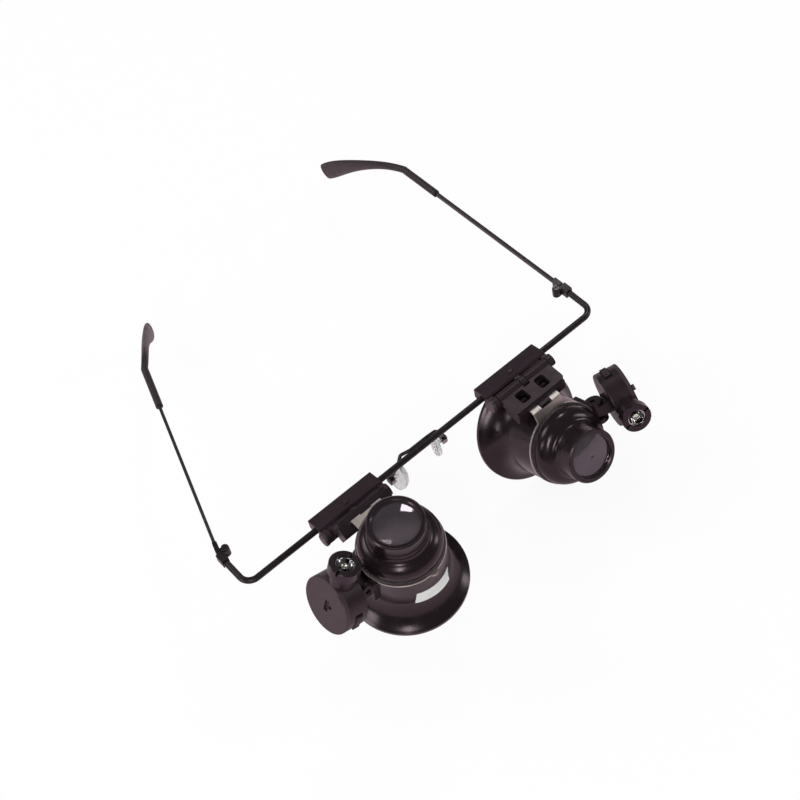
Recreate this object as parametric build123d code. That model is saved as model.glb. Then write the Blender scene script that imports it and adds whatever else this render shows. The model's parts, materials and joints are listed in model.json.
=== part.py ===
from build123d import *
import os
from math import cos, degrees, radians, sin

# Shared clearances and the overrun that every cut goes past a face
running_gap = 0.05
seat_gap = 0.02
body_gap = 0.3
overrun = 1.0

# Frame wire: one round wire bent into a shallow U, with the bar's centre at the origin
bar_span = 149.5
bar_wire_d = 2.2
corner_bend_r = 4.0
leg_reach = 13.9

# Temple hinge, measured from the leg wire and from the bar
hinge_inboard = 2.6
hinge_back = 15.1
barrel_r = 1.4
hinge_height = 3.4
temple_leaf_height = 1.2
leaf_side_gap = 0.1
frame_lug_width = 2.6
temple_lug_width = 1.6
lug_length = 3.6
hinge_screw_r = 0.7
hinge_screw_head_r = 1.2
hinge_screw_head_h = 0.5
screw_slot_width = 0.4
screw_slot_depth = 0.3

# Temple strip and ear tip, measured back from the hinge line
strip_thick = 1.1
strip_height = 2.3
strip_end = 84.0
tip_start = 65.7
tip_straight_end = 84.0
tip_bend_back = 91.0
tip_end_back = 127.4
tip_end_drop = {"left": 31.0, "right": 24.2}
tip_end_inward = {"left": 6.2, "right": 8.6}
tip_bow = 1.9
tip_bend_drop = 1.4
tip_bend_inward = 1.9
tip_thick = 2.6
tip_neck_height = 2.9
tip_paddle_height = 7.4
tip_paddle_shares = (0.0, 0.3, 0.6, 0.85, 1.0)
tip_height_shares = (0.0, 0.22, 0.62, 0.98, 0.9)
tip_cap_taper_deg = 35.0
temple_droop_deg = 1.0
fold_deg = {"left": 18.1, "right": 0.6}

# Nose bridge: one thin wire brazed behind the bar, a box and a clear pad on each end
bridge_middle = -2.0
bridge_wire_d = 1.2
bridge_half_run = 3.6
bridge_knee_x = 7.0
bridge_knee_back = {"left": 3.0, "right": 2.0}
bridge_knee_drop = 0.8
bridge_turn_x = 9.3
bridge_turn_back = 1.9
bridge_turn_drop = 3.0
bridge_bend_r = 1.2
pad_box_x = 11.3
pad_box_back = 5.2
pad_box_drop = 12.9
pad_box_side = 2.3
pad_box_mouth = 0.8
pad_box_height = 2.9
pad_box_wall = 0.5
pad_screw_r = 0.4
pad_screw_head_r = 0.9
pad_screw_head_h = 0.5
pad_height = 11.8
pad_width = 6.6
pad_thick = 2.2
pad_offset = 3.1
pad_splay_deg = {"left": 24.0, "right": 15.0}
pad_pitch_deg = {"left": 0.0, "right": 22.0}
pad_tilt_deg = 9.0
pad_hang = {"left": 2.2, "right": 1.4}
pad_tongue = 1.4
pad_edge_share = 0.42

# Clip: a moulded body over the bar, closed from below by a jaw
clip_x = {"left": -33.8, "right": 37.4}
clip_length = 26.0
clip_back = 4.0
clip_front = 2.9
clip_bottom = 3.2
clip_top_back = 1.3
clip_top_front = 2.9
clip_edge_round = 0.7
clip_gate_r = 0.7
clip_gate_h = 0.12
clip_gate_back = 0.1
jaw_width = 2.0
jaw_foot_width = 3.4
jaw_foot_height = 0.8
jaw_end_gap = 1.2

# Flip hinge between the clip and the flip block
flip_axis_front = 5.7
flip_axis_up = 1.8
clip_knuckle_r = 2.15
flip_barrel_r = 2.1
end_knuckle_width = 2.1
centre_knuckle_width = 2.0
flip_pin_r = 0.8
pin_cap_r = 2.3
pin_cap_h = 1.3
pin_cap_dome = 0.5
knuckle_overhang = 0.1

# Flip block, drawn level: forward is -Y, with the hinge axis at its origin
block_front = 9.6
block_top = 1.2
block_lip = 1.0
block_bottom = 4.5
block_back = 2.7
block_inset = 0.5
block_corner_r = 1.4
lip_front = 9.2
web_drop = 0.9
window_x = 4.2
window_width = 3.9
window_length = 4.8
window_centre = 5.1
window_corner_r = 1.0
window_depth = 3.2
front_lug_half = 2.0
front_lug_reach = 1.7
front_lug_top = 0.4
front_lug_bottom = 2.8
spring_thick = 0.3
spring_width = 3.0
spring_rise = 1.1

# Bracket: bent steel sheet, two tabs in the block and a ring round the eyecup's tube
sheet = 0.6
bend_forward = 11.8
bend_drop = 1.1
plate_rise = 16.8
ring_mid = 22.8
loupe_pitch_deg = 24.7
left_lift_deg = 60.8
tab_inner = 2.3
tab_outer = 5.9
tab_bite = 1.7
ring_outer_r = 14.2
ring_lobe_r = 1.6
ring_lobe_middle_r = 13.6
ring_lobe_deg = -84.0

# Eyecup, turned about the optical axis, measured forward from its rear face
flange_r = 20.0
flange_lip = 1.2
flange_shoulder_r = 19.3
flange_shoulder_s = 1.8
flare_mid_r = 15.4
flare_mid_s = 6.0
cup_r = 14.1
cup_straight_s = 11.6
eyecup_wall = 1.4
flange_inner_r = 18.4
thread_tube_r = 12.4
thread_tube_end = 26.2
seat_ledge_r = 10.6
seat_ledge_s = 16.5
rear_lens_r = 11.5
rear_lens_s = 18.0
rear_lens_edge = 1.6
rear_lens_crown = 1.1

# Lens cap, screwed over the thread tube, and its front lens
cap_skirt_r = 13.7
knurl_r = 14.0
knurl_height = 1.5
knurl_teeth = 132
cap_step_r = 13.5
dome_mid_r = 12.75
dome_mid_s = 27.9
dome_r = 10.9
dome_s = 29.5
neck_mid_r = 9.9
neck_mid_s = 30.2
neck_r = 9.45
neck_s = 31.4
barrel_front_r = 9.3
barrel_start = 33.0
cap_front = 38.0
rim_round = 0.4
cap_bore_r = 12.45
cap_bore_end = 26.6
lens_bore_r = 7.85
lens_bore_start = 28.8
lens_lip_r = 7.45
lens_lip_s = 36.9
front_lens_r = 7.8
front_lens_edge = 1.9
front_lens_crown = 0.7

# Blank label on the left eyecup
label_mid_deg = -86.0
label_length = 13.8
label_height = 5.7
label_thick = 0.12
label_mid_s = 12.0
label_tilt_deg = 9.5

# Lamp: its pivot pin stands upright beside the eyecup, drawn for the right side
toe_deg = {"left": 20.5, "right": 17.8}
pivot_x = 16.75
pivot_s = 20.0
case_r = 9.8
case_half_thick = 4.2
case_floor = 1.2
case_wall = 1.8
case_round = 0.5
cover_thick = 1.3
cover_edge_round = 0.35
cover_boss_gap = 0.15
cover_spigot = 0.8
cover_spigot_wall = 0.8
cover_slot_length = 4.7
cover_slot_width = 1.7
cover_slot_depth = 0.9
cover_arrow_length = 2.9
cover_arrow_deg = 42.0
cover_tab_deg = 33.0
cover_tab_width = 2.0
cover_tab_rise = 0.5
cover_tab_thick = 0.8
cell_gap = 0.3
cell_thick = 1.8
contact_thick = 0.3
contact_width = 5.0
contact_end_gap = 0.5
boss_r = 4.1
boss_rise = 3.6
head_r = 5.1
head_length = 4.0
head_neck_r = 4.6
head_neck_length = 0.7
head_wall = 2.05
head_floor = 1.2
head_notch_angles = (20.0, 200.0)
head_notch_width = 0.8
head_notch_depth = 1.2
reflector_r = 3.0
reflector_mouth_r = 2.7
reflector_throat_r = 1.55
reflector_recess = 0.5
reflector_bulge_share = 0.67
led_r = 1.2
led_collar_r = 1.5
led_length = 2.4
pin_from_case = 4.8
pin_forward = 2.0
arm_half = 2.1
arm_knuckle_r = 2.1
arm_gap = 0.1
arm_plate_thick = 1.0
arm_plate_behind = 2.4
arm_stud_r = 1.2
ear_gap = 0.25
ear_thick = 1.65
ear_r = 3.1
arm_pin_r = 1.0
arm_pin_recess = 0.6
saddle_half = 4.6
saddle_start = 12.6
saddle_thick = 1.4
ring_clear = 0.4
switch_width = 2.2
switch_middle = -0.6
switch_start_deg = 82.0
switch_end_deg = 116.0
switch_travel_deg = 6.0
switch_track_spare_deg = 2.0
switch_depth = 0.7
switch_rise = 0.1
switch_ribs = 5
switch_rib_rise = 0.2
switch_rib_deg = 2.4
switch_bump_deg = 7.0
switch_bump_rise = 0.45

bar_r = bar_wire_d / 2
sides = ("left", "right")
mirrored = {"left": True, "right": False}
hinge_x = bar_span / 2 - hinge_inboard
jaw_length = clip_length - 2 * jaw_end_gap
flip_half_width = clip_length / 2 + knuckle_overhang - end_knuckle_width - body_gap
case_bore_r = case_r - case_wall
cover_r = case_r
cell_r = case_bore_r - cell_gap
boss_end = case_r + boss_rise
head_end = boss_end + head_length


def block(x0, x1, y0, y1, z0, z1):
    """A box between two corners."""
    size = Box(x1 - x0, y1 - y0, z1 - z0)
    return Pos((x0 + x1) / 2, (y0 + y1) / 2, (z0 + z1) / 2) * size


def rod(radius, length, start, direction):
    """A round bar from a point along one of the axes."""
    plane = Plane(origin=start, z_dir=direction)
    return extrude(plane * Circle(radius), length)


def turned(points_builder):
    """A solid turned about Z from a closed profile drawn as radius and height."""
    with BuildSketch(Plane.XZ) as profile:
        with BuildLine():
            points_builder()
        make_face()
    return revolve(profile.sketch, Axis.Z)


def as_side(shape, side):
    """The right-hand piece as it is, or its mirror image for the left."""
    if mirrored[side]:
        return mirror(shape, about=Plane.YZ)
    return shape


def folded(shape, side):
    """A temple piece at its photographed fold."""
    hand = -1 if mirrored[side] else 1
    pivot = Pos(hand * hinge_x, hinge_back, 0)
    return pivot * Rot(0, 0, hand * fold_deg[side]) * pivot.inverse() * shape


def drooped(shape):
    """A temple piece with the slight fall that the strip has from its lug back to the ear."""
    pivot = Pos(0, hinge_back, 0)
    return pivot * Rot(-temple_droop_deg, 0, 0) * pivot.inverse() * shape


def on_flip(shape, side):
    """A piece drawn in the flip block's level frame, put on its clip at its photographed lift."""
    lift = left_lift_deg if side == "left" else 0
    hinge = Pos(clip_x[side], -flip_axis_front, flip_axis_up)
    return hinge * Rot(-lift, 0, 0) * shape


def loupe_place():
    """The eyecup's rear centre in the flip block's frame, Z along the optical axis and Y up."""
    pitch = radians(loupe_pitch_deg)
    back = -bend_forward + ring_mid * cos(pitch) - plate_rise * sin(pitch)
    height = -bend_drop - ring_mid * sin(pitch) - plate_rise * cos(pitch)
    return Pos(0, back, height) * Rot(90 - loupe_pitch_deg, 0, 0)


def on_loupe(shape, side):
    """A piece drawn about the optical axis, put on its loupe."""
    return on_flip(loupe_place() * shape, side)


def lamp_side(side):
    """The lamp is one part for both sides: the left one is turned half round the optical axis."""
    return Rot(0, 0, 180 if side == "left" else 0)


def on_lamp(shape, side):
    """A piece drawn about the battery case's centre, X out of its cover and Z towards the lamp."""
    pivot = Pos(pivot_x, 0, pivot_s) * Rot(0, -toe_deg[side], 0)
    centre = Pos(case_half_thick + pin_from_case, 0, -pin_forward)
    return on_loupe(lamp_side(side) * pivot * centre * shape, side)


def save(name, shape):
    export_step(shape, f"parts/{name}.step")


# Frame wire
def bar_wire():
    half = bar_span / 2
    path = FilletPolyline(
        (-half, leg_reach, 0),
        (-half, 0, 0),
        (half, 0, 0),
        (half, leg_reach, 0),
        radius=corner_bend_r,
    )
    section = Plane(origin=path @ 0, z_dir=path % 0) * Circle(bar_r)
    return sweep(section, path=path)


# Hinge leaf on the end of the frame wire, drawn on the right
def frame_lug():
    wire_x = bar_span / 2
    half_h = hinge_height / 2
    front = hinge_back - body_gap / 2
    body = block(
        wire_x - frame_lug_width / 2,
        wire_x + frame_lug_width / 2,
        front - lug_length,
        front,
        -half_h,
        half_h,
    )
    leaf = block(hinge_x, wire_x, hinge_back - barrel_r, front, -half_h, half_h)
    barrel = rod(barrel_r, hinge_height, (hinge_x, hinge_back, -half_h), (0, 0, 1))
    leaf_space = temple_leaf_height / 2 + leaf_side_gap
    gap_start = (hinge_x, hinge_back, -leaf_space)
    gap = rod(barrel_r + body_gap, 2 * leaf_space, gap_start, (0, 0, 1))
    screw_start = (hinge_x, hinge_back, -half_h - overrun)
    screw = rod(hinge_screw_r, hinge_height + 2 * overrun, screw_start, (0, 0, 1))
    socket = rod(bar_r, leg_reach, (wire_x, 0, 0), (0, 1, 0))
    return body + leaf + barrel - gap - screw - socket


# Hinge leaf on the temple strip, drawn on the right and open
def temple_lug():
    wire_x = bar_span / 2
    half_h = hinge_height / 2
    half_leaf = temple_leaf_height / 2
    start = hinge_back + body_gap / 2
    inner = hinge_x + barrel_r + body_gap
    body = block(inner, inner + temple_lug_width, start, start + lug_length, -half_h, half_h)
    leaf = block(hinge_x, inner + temple_lug_width / 2, start, hinge_back + barrel_r, -half_leaf, half_leaf)
    barrel = rod(barrel_r, temple_leaf_height, (hinge_x, hinge_back, -half_leaf), (0, 0, 1))
    bore_start = (hinge_x, hinge_back, -half_leaf - overrun)
    bore = rod(hinge_screw_r + running_gap, temple_leaf_height + 2 * overrun, bore_start, (0, 0, 1))
    return body + leaf + barrel - bore - temple_strip()


# Flattened wire of the temple, drawn on the right and open
def temple_strip():
    wire_x = bar_span / 2
    start = hinge_back + body_gap / 2 + lug_length / 2
    length = hinge_back + strip_end - start
    plane = Plane(origin=(wire_x, start, 0), x_dir=(1, 0, 0), z_dir=(0, 1, 0))
    section = plane * RectangleRounded(strip_thick, strip_height, strip_thick / 2 - seat_gap)
    return drooped(extrude(section, length))


# Moulded ear tip: a round neck over the strip, then a paddle that drops and turns inwards
def ear_tip(side):
    wire_x = bar_span / 2
    neck_plane = Plane(origin=(wire_x, hinge_back + tip_start, 0), x_dir=(1, 0, 0), z_dir=(0, 1, 0))
    neck = extrude(
        neck_plane * Ellipse(tip_thick / 2, tip_neck_height / 2),
        tip_straight_end - tip_start,
    )
    bend = Vector(wire_x - tip_bend_inward, hinge_back + tip_bend_back, -tip_bend_drop)
    end_x = wire_x - tip_end_inward[side]
    end = Vector(end_x, hinge_back + tip_end_back, -tip_end_drop[side])
    run = (end - bend).normalized()
    turn = (run + Vector(0, 1, 0)).normalized()
    start_point = (wire_x, hinge_back + tip_straight_end, 0)
    start_plane = Plane(origin=start_point, x_dir=(1, 0, 0), z_dir=(0, 1, 0))
    sections = [start_plane * Ellipse(tip_thick / 2, tip_neck_height / 2)]
    growth = tip_paddle_height - tip_neck_height
    for share, height_share in zip(tip_paddle_shares, tip_height_shares):
        centre = bend + (end - bend) * share + Vector(0, 0, 4 * tip_bow * share * (1 - share))
        direction = turn if share == 0 else run
        plane = Plane(origin=centre, x_dir=direction.cross(Vector(0, 0, 1)), z_dir=direction)
        height = tip_neck_height + growth * height_share
        sections.append(plane * Ellipse(tip_thick / 2, height / 2))
    paddle = loft([face.face() for face in sections])
    end_plane = Plane(origin=end, x_dir=run.cross(Vector(0, 0, 1)), z_dir=run)
    end_height = tip_neck_height + growth * tip_height_shares[-1]
    end_face = end_plane * Ellipse(tip_thick / 2, end_height / 2)
    cap = extrude(end_face, tip_thick / 2, taper=tip_cap_taper_deg)
    return drooped(neck + paddle + cap) - temple_strip()


# Screws of both temple hinges
def temple_screws():
    screws = []
    for side_sign in (-1, 1):
        x = side_sign * hinge_x
        shank = rod(hinge_screw_r, hinge_height, (x, hinge_back, -hinge_height / 2), (0, 0, 1))
        head = rod(hinge_screw_head_r, hinge_screw_head_h, (x, hinge_back, hinge_height / 2), (0, 0, 1))
        top = hinge_height / 2 + hinge_screw_head_h
        slot = block(
            x - hinge_screw_head_r - overrun,
            x + hinge_screw_head_r + overrun,
            hinge_back - screw_slot_width / 2,
            hinge_back + screw_slot_width / 2,
            top - screw_slot_depth,
            top + overrun,
        )
        screws.append(shank + head - slot)
    return Compound(children=screws)


# Nose bridge wire, brazed along the back of the bar, with an arm down to each pad box
def bridge_wire():
    touch = bar_r + bridge_wire_d / 2

    def half(side):
        hand = -1 if mirrored[side] else 1
        points = [
            (bridge_half_run, touch, 0),
            (bridge_knee_x, bridge_knee_back[side], -bridge_knee_drop),
            (bridge_turn_x, bridge_turn_back, -bridge_turn_drop),
            (pad_box_x, pad_box_back, -pad_box_drop + pad_box_height / 2 - pad_box_wall),
        ]
        return [(bridge_middle + hand * x, y, z) for x, y, z in points]

    right = half("right")
    left = list(reversed(half("left")))
    path = FilletPolyline(*left, *right, radius=bridge_bend_r)
    section = Plane(origin=path @ 0, z_dir=path % 0) * Circle(bridge_wire_d / 2)
    return sweep(section, path=path)


# Pad box: a small folded cup, open towards the nose, drawn right of the bridge's middle
def pad_box():
    half = pad_box_side / 2
    half_h = pad_box_height / 2
    outer = block(
        pad_box_x - pad_box_mouth,
        pad_box_x + half,
        pad_box_back - half,
        pad_box_back + half,
        -pad_box_drop - half_h,
        -pad_box_drop + half_h,
    )
    hollow = block(
        pad_box_x - half - overrun,
        pad_box_x + half - pad_box_wall,
        pad_box_back - half + pad_box_wall,
        pad_box_back + half - pad_box_wall,
        -pad_box_drop - half_h - overrun,
        -pad_box_drop + half_h - pad_box_wall,
    )
    screw = rod(
        pad_screw_r,
        pad_box_side + 2 * overrun,
        (pad_box_x, pad_box_back - half - overrun, -pad_box_drop),
        (0, 1, 0),
    )
    return outer - hollow - screw - Pos(-bridge_middle, 0, 0) * bridge_wire()


# Screws through both pad boxes
def pad_screws():
    screws = []
    half = pad_box_side / 2
    for side_sign in (-1, 1):
        x = bridge_middle + side_sign * pad_box_x
        shank = rod(pad_screw_r, pad_box_side, (x, pad_box_back - half, -pad_box_drop), (0, 1, 0))
        head_start = (x, pad_box_back - half - pad_screw_head_h, -pad_box_drop)
        head = rod(pad_screw_head_r, pad_screw_head_h, head_start, (0, 1, 0))
        front = pad_box_back - half - pad_screw_head_h
        slot = block(
            x - screw_slot_width / 2,
            x + screw_slot_width / 2,
            front - overrun,
            front + screw_slot_depth / 2,
            -pad_box_drop - pad_screw_head_r - overrun,
            -pad_box_drop + pad_screw_head_r + overrun,
        )
        screws.append(shank + head - slot)
    return Compound(children=screws)


# Clear nose pad with the tongue that its box holds, drawn on the right
def nose_pad(side):
    splayed = Rot(0, 0, -pad_splay_deg[side]) * pad_blank()
    pad = Rot(pad_pitch_deg[side], 0, 0) * Rot(0, -pad_tilt_deg, 0) * splayed
    pad = Pos(pad_box_x - pad_offset, pad_box_back, -pad_box_drop - pad_hang[side]) * pad
    half = pad_box_side / 2 - pad_box_wall - leaf_side_gap
    tongue = block(
        pad_box_x - pad_offset + pad_thick / 4,
        pad_box_x + pad_box_side / 2 - pad_box_wall - leaf_side_gap,
        pad_box_back - half,
        pad_box_back + half,
        -pad_box_drop - pad_tongue / 2,
        -pad_box_drop + pad_tongue / 2,
    )
    bore = rod(
        pad_screw_r + running_gap,
        pad_box_side + 2 * overrun,
        (pad_box_x, pad_box_back - pad_box_side / 2 - overrun, -pad_box_drop),
        (0, 1, 0),
    )
    return pad + tongue - bore


# The pad's own shape: an oval with a domed back and a flatter face
def pad_blank():
    oval = extrude(Plane.YZ * Ellipse(pad_width / 2, pad_height / 2), pad_thick / 2, both=True)
    return fillet(oval.edges().filter_by(GeomType.ELLIPSE), pad_thick * pad_edge_share)


# Clip body, drawn about the bar's axis
def clip_body():
    half = clip_length / 2
    with BuildSketch(Plane.YZ) as end_shape:
        with BuildLine():
            Polyline(
                (clip_back - clip_edge_round, -clip_bottom),
                (clip_back, -clip_bottom + clip_edge_round),
                (clip_back, clip_top_back),
                (-clip_front + clip_edge_round, clip_top_front),
                (-clip_front, clip_top_front - clip_edge_round),
                (-clip_front, -clip_bottom),
                close=True,
            )
        make_face()
    body = extrude(end_shape.sketch, half, both=True)
    knuckles = [
        (-flip_half_width - body_gap - end_knuckle_width, end_knuckle_width),
        (-centre_knuckle_width / 2, centre_knuckle_width),
        (flip_half_width + body_gap, end_knuckle_width),
    ]
    for start, width in knuckles:
        round_end = rod(clip_knuckle_r, width, (start, -flip_axis_front, flip_axis_up), (1, 0, 0))
        arm = block(
            start,
            start + width,
            -flip_axis_front,
            -clip_front + seat_gap,
            flip_axis_up - clip_knuckle_r,
            clip_top_front - clip_edge_round,
        )
        body += round_end + arm
    gate = rod(clip_gate_r, clip_top_front, (0, clip_gate_back, 0), (0, 0, 1))
    body += gate
    pin = rod(flip_pin_r, clip_length * 2, (-clip_length, -flip_axis_front, flip_axis_up), (1, 0, 0))
    bar = rod(bar_r + running_gap, clip_length * 2, (-clip_length, 0, 0), (1, 0, 0))
    mouth = block(
        -clip_length,
        clip_length,
        -bar_r - running_gap,
        bar_r + running_gap,
        -clip_bottom - overrun,
        0,
    )
    return body - pin - bar - mouth - jaw_foot(0)


# The jaw's wide foot, which the clip body's underside is cut for
def jaw_foot(gap):
    return block(
        -jaw_length / 2 - gap,
        jaw_length / 2 + gap,
        -jaw_foot_width / 2 - gap,
        jaw_foot_width / 2 + gap,
        -clip_bottom,
        -clip_bottom + jaw_foot_height,
    )


# Jaw pushed into the clip body from below, which holds it on the bar
def clip_jaw():
    stem = block(
        -jaw_length / 2,
        jaw_length / 2,
        -jaw_width / 2,
        jaw_width / 2,
        -clip_bottom,
        0,
    )
    bar = rod(bar_r + running_gap, clip_length * 2, (-clip_length, 0, 0), (1, 0, 0))
    return stem + jaw_foot(0) - bar


# Steel pin of the flip hinge, with its domed end cap on the outer left end
def flip_pin():
    start = -flip_half_width - body_gap - end_knuckle_width
    length = 2 * (flip_half_width + body_gap + end_knuckle_width)
    axis_point = (start, -flip_axis_front, flip_axis_up)
    shank = rod(flip_pin_r, length, axis_point, (1, 0, 0))
    cap = rod(pin_cap_r, pin_cap_h, axis_point, (-1, 0, 0))
    cap = fillet(cap.faces().sort_by(Axis.X)[0].edges(), pin_cap_dome)
    return shank + cap


# Flip block: a hollow-topped block hung on two barrels
def flip_block():
    lip_bottom = block_top - block_lip
    lip = block(-flip_half_width, flip_half_width, -lip_front, -block_back, lip_bottom, block_top)
    lip = fillet(lip.edges().filter_by(Axis.Z).group_by(Axis.Y)[0], block_corner_r)
    inner_half = flip_half_width - block_inset
    core = block(-inner_half, inner_half, -block_front, -block_back, -block_bottom, lip_bottom)
    core = fillet(core.edges().filter_by(Axis.X).group_by(Axis.Z)[0], block_corner_r / 2)
    body = lip + core
    inner = centre_knuckle_width / 2 + body_gap
    for x0, x1 in ((-flip_half_width, -inner), (inner, flip_half_width)):
        barrel = rod(flip_barrel_r, x1 - x0, (x0, 0, 0), (1, 0, 0))
        web = block(x0, x1, -block_back - overrun, 0, -web_drop, block_top)
        body += barrel + web
    knuckle_space = clip_knuckle_r + body_gap
    middle = rod(knuckle_space, 2 * inner, (-inner, 0, 0), (1, 0, 0))
    pin = rod(flip_pin_r + running_gap, clip_length * 2, (-clip_length, 0, 0), (1, 0, 0))
    body = body - middle - pin
    for x in (-window_x, window_x):
        window = Pos(x, -window_centre, block_top - window_depth) * RectangleRounded(
            window_width, window_length, window_corner_r
        )
        body -= extrude(window, window_depth + overrun)
    lug = block(
        -front_lug_half,
        front_lug_half,
        -block_front - front_lug_reach,
        -block_front,
        -front_lug_bottom,
        -front_lug_top,
    )
    return body + lug - bracket_tabs()


# Leaf springs at the bottom of the two windows, which hold the flip where it is set
def flip_springs():
    springs = []
    floor = block_top - window_depth
    half = window_length / 2 - window_corner_r / 2
    for x in (-window_x, window_x):
        with BuildSketch(Plane.YZ) as leaf:
            with BuildLine():
                upper = ThreePointArc(
                    (-window_centre - half, floor + spring_thick),
                    (-window_centre, floor + spring_rise + spring_thick),
                    (-window_centre + half, floor + spring_thick),
                )
                Line(upper @ 1, (-window_centre + half, floor))
                lower = ThreePointArc(
                    (-window_centre + half, floor),
                    (-window_centre, floor + spring_rise),
                    (-window_centre - half, floor),
                )
                Line(lower @ 1, upper @ 0)
            make_face()
        springs.append(Pos(x, 0, 0) * extrude(leaf.sketch, spring_width / 2, both=True))
    return Compound(children=springs)


# The two tabs of the bracket, level in the flip block's frame
def bracket_tabs():
    tabs = None
    for x0, x1 in ((-tab_outer, -tab_inner), (tab_inner, tab_outer)):
        tab = block(
            x0,
            x1,
            -bend_forward,
            -block_front + tab_bite,
            -bend_drop - sheet / 2,
            -bend_drop + sheet / 2,
        )
        roll = rod(sheet / 2, x1 - x0, (x0, -bend_forward, -bend_drop), (1, 0, 0))
        tabs = tab + roll if tabs is None else tabs + tab + roll
    return tabs


# Bracket ring and plate, stamped from one sheet with the tabs, in the flip block's frame
def bracket():
    ring = Circle(ring_outer_r)
    neck = Pos(0, plate_rise / 2) * Rectangle(2 * tab_outer, plate_rise)
    notch = Pos(0, plate_rise) * Rectangle(2 * tab_inner, sheet)
    lobe_angle = radians(ring_lobe_deg)
    lobe_centre = (ring_lobe_middle_r * cos(lobe_angle), ring_lobe_middle_r * sin(lobe_angle))
    lobe = Pos(*lobe_centre) * Circle(ring_lobe_r)
    outline = ring + neck + lobe - notch - Circle(thread_tube_r + running_gap)
    plate = extrude(Pos(0, 0, ring_mid - sheet / 2) * outline, sheet)
    return loupe_place() * plate + bracket_tabs()


# Eyecup
def eyecup():
    ring_back = ring_mid - sheet / 2
    inner_flare_r = cup_r - eyecup_wall

    def outline():
        outer_edge = Polyline(
            (flange_inner_r, 0),
            (flange_r, 0),
            (flange_r, flange_lip),
            (flange_shoulder_r, flange_shoulder_s),
        )
        flare = ThreePointArc(outer_edge @ 1, (flare_mid_r, flare_mid_s), (cup_r, cup_straight_s))
        tube = Polyline(
            flare @ 1,
            (cup_r, ring_back),
            (thread_tube_r, ring_back),
            (thread_tube_r, thread_tube_end),
            (rear_lens_r, thread_tube_end),
            (rear_lens_r, rear_lens_s),
            (seat_ledge_r, rear_lens_s),
            (seat_ledge_r, seat_ledge_s),
            (inner_flare_r, seat_ledge_s),
            (inner_flare_r, cup_straight_s),
        )
        inner_mid = (flare_mid_r - eyecup_wall, flare_mid_s - eyecup_wall / 2)
        ThreePointArc(tube @ 1, inner_mid, outer_edge @ 0)

    return turned(outline)


# Lens cap with its knurled skirt
def lens_cap():
    skirt_back = ring_mid + sheet / 2
    skirt_front = skirt_back + knurl_height

    def outline():
        skirt = Polyline(
            (lens_lip_r, lens_lip_s),
            (lens_bore_r, lens_lip_s),
            (lens_bore_r, lens_bore_start),
            (cap_bore_r, cap_bore_end),
            (cap_bore_r, skirt_back),
            (cap_skirt_r, skirt_back),
            (cap_skirt_r, skirt_front),
            (cap_step_r, skirt_front),
        )
        dome = ThreePointArc(skirt @ 1, (dome_mid_r, dome_mid_s), (dome_r, dome_s))
        neck = ThreePointArc(dome @ 1, (neck_mid_r, neck_mid_s), (neck_r, neck_s))
        Polyline(
            neck @ 1,
            (barrel_front_r, barrel_start),
            (barrel_front_r, cap_front - rim_round),
            (barrel_front_r - rim_round, cap_front),
            (lens_lip_r + rim_round, cap_front),
            (lens_lip_r, cap_front - rim_round),
            skirt @ 0,
        )

    points = []
    for tooth in range(knurl_teeth):
        for step, radius in ((0, knurl_r), (1, cap_skirt_r - seat_gap)):
            angle = radians((tooth + step / 2) * 360 / knurl_teeth)
            points.append((radius * cos(angle), radius * sin(angle)))
    teeth = make_face(Polyline(*points, close=True))
    knurl = extrude(Pos(0, 0, skirt_back) * teeth, knurl_height)
    knurl -= rod((cap_bore_r + cap_skirt_r) / 2, 2 * cap_front, (0, 0, 0), (0, 0, 1))
    return turned(outline) + knurl


# Crown of a lens: the top of a ball that rises by a given height over a round edge
def lens_crown(radius, rise, edge_s):
    ball_r = (radius**2 + rise**2) / (2 * rise)
    ball = Pos(0, 0, edge_s + rise - ball_r) * Sphere(ball_r)
    return ball & rod(radius, 2 * rise, (0, 0, edge_s), (0, 0, 1))


# Front lens, flat inside and crowned outside
def front_lens():
    edge = rod(front_lens_r, front_lens_edge, (0, 0, lens_lip_s - front_lens_edge), (0, 0, 1))
    return edge + lens_crown(lens_lip_r - running_gap, front_lens_crown, lens_lip_s)


# Rear lens on the eyecup's ledge
def rear_lens():
    radius = rear_lens_r - seat_gap
    edge = rod(radius, rear_lens_edge, (0, 0, rear_lens_s), (0, 0, 1))
    return edge + lens_crown(radius, rear_lens_crown, rear_lens_s + rear_lens_edge)


# Blank paper label wrapped round the eyecup
def blank_label():
    paper = cup_skin(label_thick) - cup_skin(0)
    strip = Rot(0, label_tilt_deg, 0) * Box(label_length, cup_r * 2, label_height)
    strip = Pos(0, -cup_r, label_mid_s) * strip
    return Rot(0, 0, label_mid_deg + 90) * strip & paper


# Solid body of the eyecup's outside, from its flare to the ring, grown by a thickness
def cup_skin(extra):
    def outline():
        foot = Line((0, flange_shoulder_s), (flange_shoulder_r + extra, flange_shoulder_s))
        middle = (flare_mid_r + extra, flare_mid_s)
        flare = ThreePointArc(foot @ 1, middle, (cup_r + extra, cup_straight_s))
        top = ring_mid - sheet / 2
        Polyline(flare @ 1, (cup_r + extra, top), (0, top), foot @ 0)

    return turned(outline)


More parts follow.
